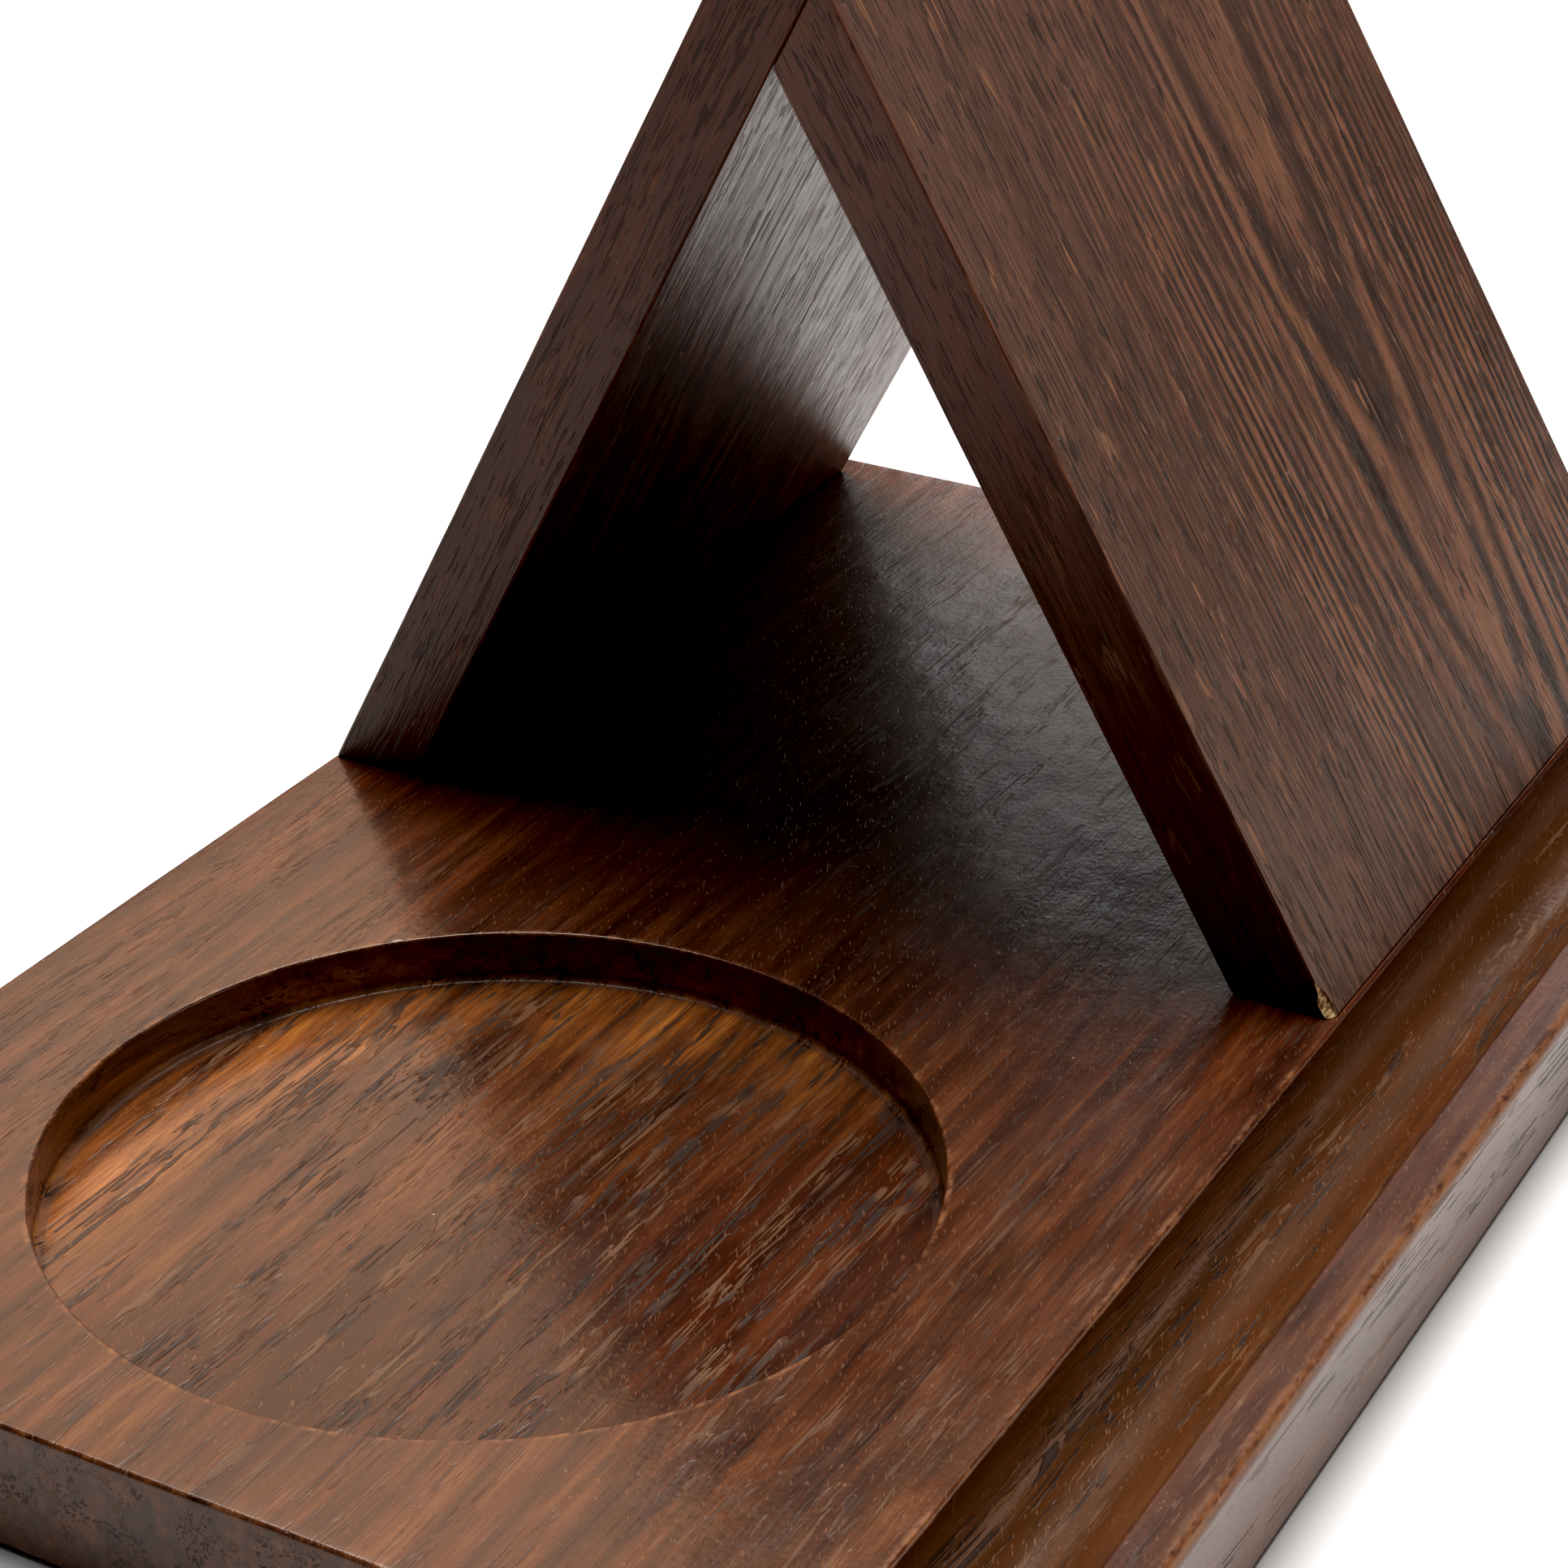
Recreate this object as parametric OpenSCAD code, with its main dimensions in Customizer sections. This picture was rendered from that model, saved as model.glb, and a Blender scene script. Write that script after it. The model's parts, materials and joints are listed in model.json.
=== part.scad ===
// Desk phone stand: a wooden base with a round cup recess and a phone groove, and an
// A-frame of two boards that the phone leans on. Millimetres, +Z up. The origin is at
// the middle of the base, on the surface that the stand rests on. +Y runs along the
// base to the A-frame's end, and +X runs across it to the groove.

/* [Base] */
// Width of the base, across the grain
base_w = 132; // [126:1:150]
// Length of the base, along the grain
base_l = 207.5; // [207:0.5:240]
// Thickness of the base
base_t = 12.5; // [12:0.1:18]
// Rounding of the long edge beside the groove
rim_edge_r = 1.2; // [0.6:0.1:1.6]
// Rounding of the other edges of the base
base_edge_r = 0.5; // [0.3:0.1:0.8]

/* [Cup recess] */
// Diameter of the cup recess
recess_d = 80; // [70:1:82]
// Depth of the cup recess
recess_depth = 5.2; // [3:0.1:6]
// From the left side of the base to the middle of the recess
recess_x = 57; // [52:0.5:62]
// From the near end of the base to the middle of the recess
recess_y = 51; // [46:0.5:60]

/* [Phone groove] */
// Width of the round-bottomed groove
groove_w = 13.4; // [10:0.1:14]
// Width of the rim between the groove and the side of the base
rim_w = 5; // [4:0.1:8]

/* [A-frame] */
// From the near end of the base to the near edges of the boards
frame_y = 108.6; // [106:0.2:112]
// Width of both boards, along the base
frame_l = 95; // [80:0.5:95]
// Thickness of both boards
board_t = 8.9; // [8:0.1:11]
// Angle of the rear board above the base
rear_lean = 62.5; // [60:0.1:66]
// Angle of the front board above the base
front_lean = 59; // [56:0.1:62]
// Rounding of the boards' edges
board_edge_r = 0.4; // [0.2:0.1:0.8]

/* [Dowels] */
// Diameter of the dowels in the boards' feet
foot_dowel_d = 4; // [3:0.1:4.4]
// Diameter of the dowels in the apex joint
apex_dowel_d = 3; // [2:0.1:3.4]
// From each edge of a board to its dowels
dowel_inset = 18; // [10:1:30]

/* [Pads] */
// Diameter of the anti-slip pads
pad_d = 12; // [8:0.5:16]
// Thickness of the pads
pad_t = 1.6; // [1.4:0.1:2.2]
// How far the pads stand out of the base
pad_proud = 0.3; // [0.2:0.1:0.5]
// From the sides and ends of the base to the middles of the pads
pad_inset = 14; // [12:0.5:18]

/* [Hidden] */
$fn = 96;

walnut = "#5a3423";
dark_walnut = "#46281c";
beech = "#c9a06b";
pad_black = "#262423";

// What cuts run past a face by, so that no skin is left
past = 1;
// Rounding of the base's upright corners
base_corner_r = 2 * base_edge_r;
// Rounding of the groove's and the recess's upper edges, and of the recess's floor
lip_r = 0.4;
floor_r = 0.5;
// Flat land between the front board's foot and the groove's lip
lip_land = 0.05;
// How far the rear board's foot stands in from the side of the base
rear_inset = 0.3;
// Rounding of the apex
apex_r = 0.6;
// Depths of the foot dowels in the boards and in the base, and of the apex dowels
foot_dowel_up = 5.5;
foot_dowel_down = 6.5;
apex_dowel_deep = 5;
// Where the apex dowels cross the joint, from its inner to its outer end
apex_dowel_at = 0.36;
dowel_chamfer = 0.4;
// Glue room round a dowel and past its ends
glue_room = 0.05;
end_room = 0.4;

x_left = -base_w / 2;
x_right = base_w / 2;
y_near = -base_l / 2;
z_under = pad_proud;
z_top = z_under + base_t;
groove_r = groove_w / 2;
groove_x = x_right - rim_w - groove_r;
frame_near = y_near + frame_y;

function cot(angle) = 1 / tan(angle);

// The A-frame's section, as [x, height above the base]
cot_sum = cot(rear_lean) + cot(front_lean);
rear_foot_w = board_t / sin(rear_lean);
front_foot_w = board_t / sin(front_lean);
rear_foot_x = x_left + rear_inset;
front_foot_x = groove_x - groove_r - lip_r - lip_land;
function on_rear_outer(h) = [rear_foot_x + h * cot(rear_lean), h];
function on_front_outer(h) = [front_foot_x - h * cot(front_lean), h];
apex = on_rear_outer((front_foot_x - rear_foot_x) / cot_sum);
joint_outer = on_front_outer((front_foot_x - rear_foot_x - rear_foot_w) / cot_sum);
joint_inner_h = (front_foot_x - front_foot_w - rear_foot_x - rear_foot_w) / cot_sum;
joint_inner = on_front_outer(joint_inner_h) - [front_foot_w, 0];

// Distance from the apex at which a rounding of apex_r meets the two outer faces
apex_angle = 180 - rear_lean - front_lean;
apex_trim = apex_r / tan(apex_angle / 2);
apex_rear = apex - apex_trim * [cos(rear_lean), sin(rear_lean)];
apex_front = apex + apex_trim * [cos(front_lean), -sin(front_lean)];
apex_centre = apex_rear + apex_r * [sin(rear_lean), -cos(rear_lean)];

dowel_near = frame_near + dowel_inset;
dowel_far = frame_near + frame_l - dowel_inset;
rear_dowel_x = rear_foot_x + rear_foot_w / 2 + foot_dowel_up / 2 * cot(rear_lean);
front_dowel_x = front_foot_x - front_foot_w / 2 - foot_dowel_up / 2 * cot(front_lean);
apex_dowel = joint_inner + apex_dowel_at * (joint_outer - joint_inner);
pad_x = base_w / 2 - pad_inset;
pad_y = base_l / 2 - pad_inset;

// What a rounding of radius r takes off a square corner; the corner is at the origin and
// the material lies towards sx and sy
module corner_cut(r, sx, sy) {
    difference() {
        translate([sx > 0 ? -past : -r, sy > 0 ? -past : -r])
            square(r + past);
        translate([sx * r, sy * r])
            circle(r);
    }
}

// A rectangle from corner a to corner b with each side's corners rounded
module eased_rect(a, b, r_low, r_high) {
    difference() {
        translate(a)
            square(b - a);
        translate(a)
            corner_cut(r_low, 1, 1);
        translate([a[0], b[1]])
            corner_cut(r_low, 1, -1);
        translate([b[0], a[1]])
            corner_cut(r_high, -1, 1);
        translate(b)
            corner_cut(r_high, -1, -1);
    }
}

// Stands an X-Z section up and runs it along Y from y0
module along_y(y0, length) {
    translate([0, y0 + length, 0])
        rotate([90, 0, 0])
            linear_extrude(length)
                children();
}

// Cross-section of the base: the plank less the phone groove with its eased lips
module base_section() {
    difference() {
        eased_rect([x_left, z_under], [x_right, z_top], base_edge_r, rim_edge_r);
        translate([groove_x, z_top])
            circle(groove_r);
        translate([groove_x - groove_r, z_top])
            corner_cut(lip_r, -1, -1);
        translate([groove_x + groove_r, z_top])
            corner_cut(lip_r, 1, -1);
    }
}

// What rounds the edges of the plank's ends, and its four upright corners
module base_end_cuts() {
    for (side = [-1, 1]) {
        translate([x_left - past, 0, 0])
            rotate([90, 0, 90])
                linear_extrude(base_w + 2 * past) {
                    translate([-side * y_near, z_under])
                        corner_cut(base_edge_r, -side, 1);
                    translate([-side * y_near, z_top])
                        corner_cut(base_edge_r, -side, -1);
                }
        translate([0, 0, z_under - past])
            linear_extrude(base_t + 2 * past)
                for (end = [-1, 1])
                    translate([side * x_right, -end * y_near])
                        corner_cut(base_corner_r, -side, -end);
    }
}

// The space that the cup recess takes: a flat floor with a small fillet, and an eased lip
module recess_cut() {
    recess_r = recess_d / 2;
    translate([x_left + recess_x, y_near + recess_y, z_top])
        rotate_extrude($fn = 180) {
            difference() {
                translate([0, -recess_depth])
                    square([recess_r, recess_depth + past]);
                translate([recess_r, -recess_depth])
                    corner_cut(floor_r, -1, 1);
            }
            translate([recess_r, 0])
                corner_cut(lip_r, 1, -1);
        }
}

// A dowel along Z with its middle joint at z = 0: it reaches up, and down
module dowel(d, up, down) {
    r = d / 2;
    rotate_extrude($fn = 48)
        polygon([
            [0, -down],
            [r - dowel_chamfer, -down],
            [r, -down + dowel_chamfer],
            [r, up - dowel_chamfer],
            [r - dowel_chamfer, up],
            [0, up]
        ]);
}

// The hole for that dowel, with glue room
module dowel_hole(d, up, down) {
    translate([0, 0, -down - end_room])
        cylinder(r = d / 2 + glue_room, h = up + down + 2 * end_room, $fn = 48);
}

// Puts its children at the foot of a board, at x and y on the base
module at_foot(x, y) {
    translate([x, y, z_top])
        children();
}

// Puts its children on the apex joint with +Z pointing into the front board
module at_apex(y) {
    translate([apex_dowel[0], y, z_top + apex_dowel[1]])
        rotate([0, 180 - rear_lean, 0])
            children();
}

module foot_dowel_hole() {
    dowel_hole(foot_dowel_d, foot_dowel_up, foot_dowel_down);
}

module apex_dowel_hole() {
    dowel_hole(apex_dowel_d, apex_dowel_deep, apex_dowel_deep);
}

// A board's stock: board_t thick and frame_l wide with eased edges, leaning at an angle
// from its foot; inner_x is where its lower face meets the base
module stock(x, tilt) {
    reach = 2 * base_w;
    translate([x, frame_near, z_top])
        rotate([0, tilt, 0])
            translate([0, 0, -board_t])
                linear_extrude(reach)
                    eased_rect([0, 0], [board_t, frame_l], board_edge_r, board_edge_r);
}

module base() {
    color(walnut)
        difference() {
            along_y(y_near, base_l)
                base_section();
            base_end_cuts();
            recess_cut();
            for (y = [dowel_near, dowel_far]) {
                at_foot(rear_dowel_x, y)
                    foot_dowel_hole();
                at_foot(front_dowel_x, y)
                    foot_dowel_hole();
            }
            for (x = [-pad_x, pad_x], y = [-pad_y, pad_y])
                translate([x, y, z_under - past])
                    cylinder(d = pad_d + 2 * glue_room, h = pad_t - pad_proud + past);
        }
}

module rear_board() {
    color(dark_walnut)
        difference() {
            intersection() {
                along_y(frame_near, frame_l)
                    translate([0, z_top]) {
                        polygon([
                            [rear_foot_x, 0],
                            [rear_foot_x + rear_foot_w, 0],
                            joint_outer,
                            apex_front,
                            apex_rear
                        ]);
                        translate(apex_centre)
                            circle(apex_r);
                    }
                stock(rear_foot_x, 90 - rear_lean);
            }
            for (y = [dowel_near, dowel_far]) {
                at_foot(rear_dowel_x, y)
                    foot_dowel_hole();
                at_apex(y)
                    apex_dowel_hole();
            }
        }
}

module front_board() {
    color(dark_walnut)
        difference() {
            intersection() {
                along_y(frame_near, frame_l)
                    translate([0, z_top])
                        polygon([
                            [front_foot_x - front_foot_w, 0],
                            [front_foot_x, 0],
                            joint_outer,
                            joint_inner
                        ]);
                stock(front_foot_x - front_foot_w, front_lean - 90);
            }
            for (y = [dowel_near, dowel_far]) {
                at_foot(front_dowel_x, y)
                    foot_dowel_hole();
                at_apex(y)
                    apex_dowel_hole();
            }
        }
}

module foot_dowel(x, y) {
    color(beech)
        at_foot(x, y)
            dowel(foot_dowel_d, foot_dowel_up, foot_dowel_down);
}

module apex_dowel(y) {
    color(beech)
        at_apex(y)
            dowel(apex_dowel_d, apex_dowel_deep, apex_dowel_deep);
}

// A round pad whose lower edge is softened
module pad(x, y) {
    r = pad_d / 2;
    ease = pad_proud / 2;
    color(pad_black)
        translate([x, y, 0])
            rotate_extrude()
                polygon([[0, 0], [r - ease, 0], [r, ease], [r, pad_t], [0, pad_t]]);
}

base();
rear_board();
front_board();
foot_dowel(rear_dowel_x, dowel_near);  // rear_dowel_near
foot_dowel(rear_dowel_x, dowel_far);  // rear_dowel_far
foot_dowel(front_dowel_x, dowel_near);  // front_dowel_near
foot_dowel(front_dowel_x, dowel_far);  // front_dowel_far
apex_dowel(dowel_near);  // apex_dowel_near
apex_dowel(dowel_far);  // apex_dowel_far
pad(-pad_x, -pad_y);  // pad_near_left
pad(pad_x, -pad_y);  // pad_near_right
pad(-pad_x, pad_y);  // pad_far_left
pad(pad_x, pad_y);  // pad_far_right
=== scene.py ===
"""Looks for the wooden phone stand: finer meshes, walnut, beech and rubber, and a studio.

Metres in the row frame; the materials work in millimetres of object space.
"""

import json
from math import atan2, cos, degrees, pi, radians, sin, tan

import bmesh
import bpy
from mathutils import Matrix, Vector, noise

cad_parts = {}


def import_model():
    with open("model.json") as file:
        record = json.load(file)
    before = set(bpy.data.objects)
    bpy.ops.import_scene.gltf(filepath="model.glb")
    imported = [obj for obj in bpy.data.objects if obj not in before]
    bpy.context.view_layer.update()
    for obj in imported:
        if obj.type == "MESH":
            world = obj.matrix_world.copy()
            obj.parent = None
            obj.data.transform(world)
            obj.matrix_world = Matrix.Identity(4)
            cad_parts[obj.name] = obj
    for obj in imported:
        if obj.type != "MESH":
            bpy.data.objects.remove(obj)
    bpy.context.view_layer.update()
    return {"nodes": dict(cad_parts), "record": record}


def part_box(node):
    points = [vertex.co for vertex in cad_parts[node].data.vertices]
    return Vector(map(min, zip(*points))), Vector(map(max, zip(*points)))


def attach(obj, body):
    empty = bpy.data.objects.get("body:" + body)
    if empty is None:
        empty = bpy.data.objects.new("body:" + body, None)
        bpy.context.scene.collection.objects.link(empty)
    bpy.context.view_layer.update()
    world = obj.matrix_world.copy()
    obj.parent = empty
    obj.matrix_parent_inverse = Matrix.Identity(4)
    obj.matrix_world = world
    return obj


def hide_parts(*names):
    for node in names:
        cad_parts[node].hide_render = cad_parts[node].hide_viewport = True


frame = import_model()

MM = 0.001
nodes = frame["nodes"]


# ---------------------------------------------------------------- node trees

class Graph:
    """A material's node tree. Each method adds nodes and returns an output socket."""

    def __init__(self, name):
        self.material = bpy.data.materials.new(name)
        self.material.use_nodes = True
        self.tree = self.material.node_tree
        self.tree.nodes.clear()

    def add(self, kind, inputs, **settings):
        node = self.tree.nodes.new(kind)
        for key, value in settings.items():
            setattr(node, key, value)
        for key, value in inputs.items():
            if isinstance(value, bpy.types.NodeSocket):
                self.tree.links.new(value, node.inputs[key])
            else:
                node.inputs[key].default_value = value
        return node

    def math(self, operation, a, b=0.0, c=0.0):
        node = self.add("ShaderNodeMath", {0: a, 1: b, 2: c}, operation=operation)
        return node.outputs[0]

    def vector(self, operation, a, b=(0.0, 0.0, 0.0)):
        node = self.add("ShaderNodeVectorMath", {0: a, 1: b}, operation=operation)
        return node.outputs["Value" if operation in ("LENGTH", "DOT_PRODUCT") else "Vector"]

    def stretch(self, p, sizes):
        """p divided by a feature size in each direction"""
        return self.vector("MULTIPLY", p, tuple(1.0 / s for s in sizes))

    def split(self, p):
        return self.add("ShaderNodeSeparateXYZ", {0: p}).outputs

    def join(self, x, y, z):
        return self.add("ShaderNodeCombineXYZ", {0: x, 1: y, 2: z}).outputs[0]

    def ease(self, value, low, high, at_low=0.0, at_high=1.0):
        """value between low and high, eased to between at_low and at_high"""
        inputs = {"Value": value, "From Min": low, "From Max": high, "To Min": at_low, "To Max": at_high}
        return self.add("ShaderNodeMapRange", inputs, interpolation_type="SMOOTHSTEP").outputs["Result"]

    def noise(self, p, sizes, detail=2.0, rough=0.5, distortion=0.0):
        """Noise between 0 and 1 with features of the given sizes"""
        inputs = {"Vector": self.stretch(p, sizes), "Scale": 1.0, "Detail": detail,
                  "Roughness": rough, "Distortion": distortion}
        return self.add("ShaderNodeTexNoise", inputs).outputs[0]

    def noise_vector(self, p, sizes, detail=1.0):
        """Noise between -0.5 and 0.5 in each direction"""
        inputs = {"Vector": self.stretch(p, sizes), "Scale": 1.0, "Detail": detail}
        colour = self.add("ShaderNodeTexNoise", inputs).outputs[1]
        return self.vector("SUBTRACT", colour, (0.5, 0.5, 0.5))

    def cells(self, p, sizes):
        """Distance to the nearest point of a jittered lattice, and that point's random value"""
        inputs = {"Vector": self.stretch(p, sizes), "Scale": 1.0}
        node = self.add("ShaderNodeTexVoronoi", inputs)
        return node.outputs["Distance"], self.split(node.outputs["Color"])[0]

    def mix(self, amount, a, b, blend="MIX"):
        inputs = {0: amount, 6: a, 7: b}
        return self.add("ShaderNodeMix", inputs, data_type="RGBA", blend_type=blend).outputs[2]

    def ramp(self, value, stops):
        node = self.add("ShaderNodeValToRGB", {0: value})
        band = node.color_ramp
        band.elements[0].position, band.elements[0].color = stops[0][0], (*stops[0][1], 1.0)
        band.elements[1].position, band.elements[1].color = stops[-1][0], (*stops[-1][1], 1.0)
        for position, colour in stops[1:-1]:
            band.elements.new(position).color = (*colour, 1.0)
        return node.outputs[0]

    def finish(self, colour, roughness, height, **fixed):
        """The shader: height is in millimetres; what is fixed goes on the shader's own sockets"""
        bump = self.add("ShaderNodeBump", {"Height": height, "Distance": MM, "Strength": 1.0})
        inputs = {"Base Color": colour, "Roughness": roughness, "Normal": bump.outputs[0], **fixed}
        if fixed.get("Coat Weight"):
            inputs["Coat Normal"] = bump.outputs[0]
        shader = self.add("ShaderNodeBsdfPrincipled", inputs)
        self.add("ShaderNodeOutputMaterial", {"Surface": shader.outputs[0]})
        return self.material

    def object_mm(self):
        """The point on the object in millimetres"""
        where = self.add("ShaderNodeTexCoord", {}).outputs["Object"]
        return self.vector("MULTIPLY", where, (1 / MM, 1 / MM, 1 / MM))


# ---------------------------------------------------------------- places

record = frame["record"]
mounts = {m["name"]: m for m in record["mounts"]}

BOARD_T = 8.9
FRONT_LEAN = radians(59.0)
REAR_LEAN = radians(62.5)


def in_mm(v):
    return Vector(v) / MM


# ---------------------------------------------------------------- wood

def weighted(g, parts, middle=0.5):
    """middle plus each part's swing about 0.5 times its weight"""
    total = middle - 0.5 * sum(weight for _, weight in parts)
    for value, weight in parts:
        total = g.math("MULTIPLY_ADD", value, weight, total)
    return total


def layers(g, colour, coats):
    """colour under coats of (mask, amount, colour, blend), laid in order"""
    for mask, amount, coat, blend in coats:
        colour = g.mix(g.math("MULTIPLY", mask, amount), colour, (*coat, 1.0), blend)
    return colour


def warp(g, p, sizes, reach):
    """p pushed about by soft noise, reach millimetres in each direction"""
    push = g.vector("MULTIPLY", g.noise_vector(p, sizes), reach)
    return g.vector("ADD", p, push)


def pores(g, p, where, sets):
    """Open pores, 1 inside and 0 outside: dashes strung along threads in p's second direction

    Each set has a pore's width, its thread's length, a dash's length and how many there are, 0 to 1.
    """
    hole = None
    for width, thread, dash, share in sets:
        line = g.noise(p, (width * 2.6, thread, width * 2.6), 0.0)
        broken = g.noise(p, (width * 9.0, dash * 1.6, width * 9.0), 1.0)
        edge = 0.66 - 0.2 * share
        inside = g.math("MULTIPLY", g.ease(line, edge, edge + 0.06), g.ease(broken, 0.46, 0.53))
        hole = inside if hole is None else g.math("MAXIMUM", hole, inside)
    return g.math("MULTIPLY", hole, where)


def hairs(g, p, turn):
    """Fine handling scratches: short threads turned by an angle in the X-Y plane"""
    x, y, z = g.split(p)[:3]
    c, s = cos(radians(turn)), sin(radians(turn))
    u = g.math("MULTIPLY_ADD", x, c, g.math("MULTIPLY", y, s))
    v = g.math("MULTIPLY_ADD", y, c, g.math("MULTIPLY", x, -s))
    return g.ease(g.noise(g.join(u, v, z), (0.20, 1.1, 1.0), 0.0), 0.72, 0.78)


def specks(g, p, size, share):
    """Settled dust: a few tiny grains"""
    distance, chance = g.cells(p, (2.6, 2.6, 2.6))
    inside = g.ease(distance, size / 2.6, size / 5.2)
    return g.math("MULTIPLY", inside, g.ease(chance, 1 - share, 1 - share + 0.01))


def middle_of(g, a, b, c):
    low, high = g.math("MINIMUM", a, b), g.math("MAXIMUM", a, b)
    return g.math("MAXIMUM", low, g.math("MINIMUM", high, c))


def slab_gap(g, value, low, high):
    """How deep value lies between low and high"""
    off = g.math("ABSOLUTE", g.math("SUBTRACT", value, (low + high) / 2))
    return g.math("SUBTRACT", (high - low) / 2, off)


def rubbed(g, gap, p, reach, cover=0.5):
    """Worn finish near an edge: 1 at gap 0, gone past reach, broken up by noise"""
    close = g.ease(gap, reach, reach * 0.15)
    patchy = g.noise(p, (1.6, 5.0, 1.6), 3.0, 0.6)
    fine = g.noise(p, (0.4, 0.9, 0.4), 1.0)
    both = g.math("SUBTRACT", g.math("MULTIPLY_ADD", fine, 0.35, patchy), cover)
    return g.math("MULTIPLY", close, g.ease(both, 0.295, 0.015))


def ring_gap(g, x, y, z, centre, radius, top):
    """Distance from the circle of the recess's lip"""
    across = g.vector("LENGTH", g.join(g.math("SUBTRACT", x, centre.x), g.math("SUBTRACT", y, centre.y), 0.0))
    off = g.math("SUBTRACT", across, radius)
    return g.vector("LENGTH", g.join(off, g.math("SUBTRACT", z, top), 0.0)), across


def line_gap(g, x, z, at_x, at_z):
    return g.vector("LENGTH", g.join(g.math("SUBTRACT", x, at_x), g.math("SUBTRACT", z, at_z), 0.0))


def base_wear(g, p, x, y, z):
    """Where the plank's finish is rubbed: the outer edges, the groove's lips and the recess's lip"""
    low, high = box_mm("base")
    gaps = slab_gap(g, x, low.x, high.x), slab_gap(g, y, low.y, high.y), slab_gap(g, z, low.z, high.z)
    edges = rubbed(g, middle_of(g, *gaps), p, 0.6, 0.40)
    rim = rubbed(g, line_gap(g, x, z, high.x - 0.3, high.z), p, 1.5, 0.56)
    groove = in_mm(mounts["phone_groove"]["pos_m"])
    r = high.z - groove.z
    inner = rubbed(g, line_gap(g, x, z, groove.x - r - 0.3, high.z), p, 0.8, 0.46)
    board = box_mm("front_board")[0].y
    inner = g.math("MULTIPLY", inner, g.ease(y, board, board - 12.0))
    outer = rubbed(g, line_gap(g, x, z, groove.x + r + 0.25, high.z), p, 0.5, 0.28)
    mount = mounts["cup_recess"]
    cup = in_mm(mount["pos_m"])
    gap, across = ring_gap(g, x, y, z, cup, mount["dims"]["r_mm"] + 0.25, high.z)
    lip = rubbed(g, gap, p, 0.60, 0.45)
    worn = edges
    for part in (rim, inner, outer, lip):
        worn = g.math("MAXIMUM", worn, part)
    return worn, across


def golden_and_painted_light(g, p, z, across, off):
    """Where the recess's floor by its wall is lightened: partly a thin golden finish, partly painted light
    that lifts the wall's shade towards the far left
    """
    high = box_mm("base")[1]
    r = mounts["cup_recess"]["dims"]["r_mm"]
    floor_edge = g.ease(across, r - 17.0, r - 4.0)
    inside = g.math("MULTIPLY", floor_edge, g.ease(across, r + 0.4, r - 0.2))
    floor = high.z - RECESS_DEPTH
    deep = g.math("MULTIPLY", g.ease(z, high.z - 0.5, floor + 1.0), g.ease(z, floor - 0.9, floor - 0.4))
    recess = g.math("MULTIPLY", g.math("MULTIPLY", inside, deep), g.ease(off, -8.0, 22.0))
    patch = g.ease(g.noise(p, (7.0, 24.0, 7.0), 2.0), 0.30, 0.55, 0.60, 1.0)
    return g.math("MULTIPLY", recess, patch)


def far_left_of_cup(g, x, y):
    """How far a point lies from the recess's middle towards its far left side"""
    cup = in_mm(mounts["cup_recess"]["pos_m"])
    back = g.math("MULTIPLY", g.math("SUBTRACT", y, cup.y), 0.6)
    return g.math("MULTIPLY_ADD", g.math("SUBTRACT", x, cup.x), -0.8, back)


BASE_COLOURS = [
    (0.12, (0.024, 0.0068, 0.0038)),
    (0.38, (0.062, 0.0195, 0.0080)),
    (0.60, (0.102, 0.0330, 0.0115)),
    (0.88, (0.185, 0.0690, 0.0230))]

# place, amount, colour, blend; laid in this order
BASE_COATS = [
    # lightens the recess floor by its far-left wall: partly golden thin finish, partly painted light over the
    # wall's shade
    ("gold_and_painted_light", 0.85, (2.8, 3.1, 2.2), "MULTIPLY"),
    # darkens the top behind the recess, towards the boards: painted shade and painted reflection of the dark
    # boards
    ("back", 1.0, (0.80, 0.65, 0.60), "MULTIPLY"),
    # darkens the right half of the recess floor: painted shade
    ("painted_shade_right_half", 1.0, (0.62, 0.44, 0.30), "MULTIPLY"),
    ("wall", 1.0, (1.5, 1.75, 1.8), "MULTIPLY"),
    # darkens the floor's corner at the foot of the recess wall: painted shade in the crease
    ("corner", 0.6, (0.5, 0.4, 0.3), "MULTIPLY"),
    ("hollow", 0.55, (0.104, 0.042, 0.0125), "MIX"),
    # pinkish grey on the flat rim beside the groove: painted sheen
    ("painted_rim_sheen", 0.35, (0.100, 0.054, 0.046), "MIX"),
    # lightens and warms the long +X side face, evening its streaks: painted light
    ("side_painted_light", 0.45, (0.220, 0.100, 0.050), "MIX")]

# width, thread, dash, share
BASE_PORES = [(0.10, 24.0, 2.6, 0.34), (0.14, 60.0, 6.0, 0.40)]
RECESS_PORES = [(0.12, 50.0, 3.6, 0.72)]

SMOKE = (0.018, 0.0085, 0.0065)
BASE_PORE_DARK = (0.012, 0.0045, 0.0024, 1.0)
BASE_PORE_PALE = (0.135, 0.060, 0.023, 1.0)
BASE_SCRATCHED = (0.24, 0.115, 0.055)
BASE_RUBBED = (0.26, 0.110, 0.042)
DUST = (0.50, 0.42, 0.33)

# how far the grain drops for each millimetre along the plank
RUN_OUT = 0.05


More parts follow.
